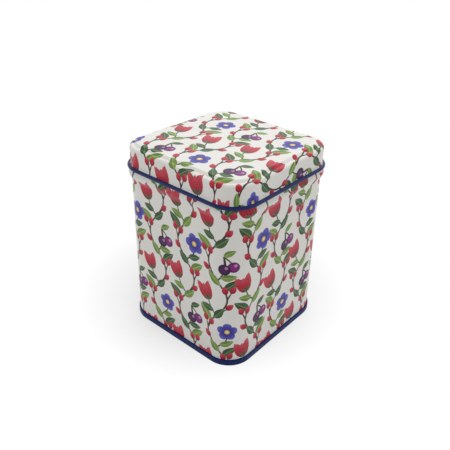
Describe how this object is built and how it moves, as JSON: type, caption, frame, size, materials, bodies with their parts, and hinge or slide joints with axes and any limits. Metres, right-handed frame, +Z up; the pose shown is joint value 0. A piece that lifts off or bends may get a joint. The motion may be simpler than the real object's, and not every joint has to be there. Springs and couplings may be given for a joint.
{
  "type": "tea caddy",
  "caption": "Square tinplate tea caddy with rounded corners, a seamed base and a lift-off slip lid with a raised panel and a rolled edge.",
  "frame": {"origin": "on the floor under the middle of the tin", "axes": "+Z up along the way the lid lifts; the side seam is in the middle of the +Y wall; the corner seen first in the picture is at +X, -Y"},
  "size_m": [0.0762, 0.0762, 0.0985],
  "materials": {
    "printed_tinplate": "white enamel with a printed design under satin varnish",
    "navy_lacquer": "navy lacquer, satin"
  },
  "bodies": {
    "tin": {"body_shell": "printed_tinplate", "seamed_base": "navy_lacquer"},
    "lid": {"slip_lid": "printed_tinplate"}
  },
  "joints": [
    {"name": "lid_lift", "type": "slide", "parent": "tin", "child": "lid", "axis": [0, 0, 1], "range_m": [0, 0.06]}
  ]
}
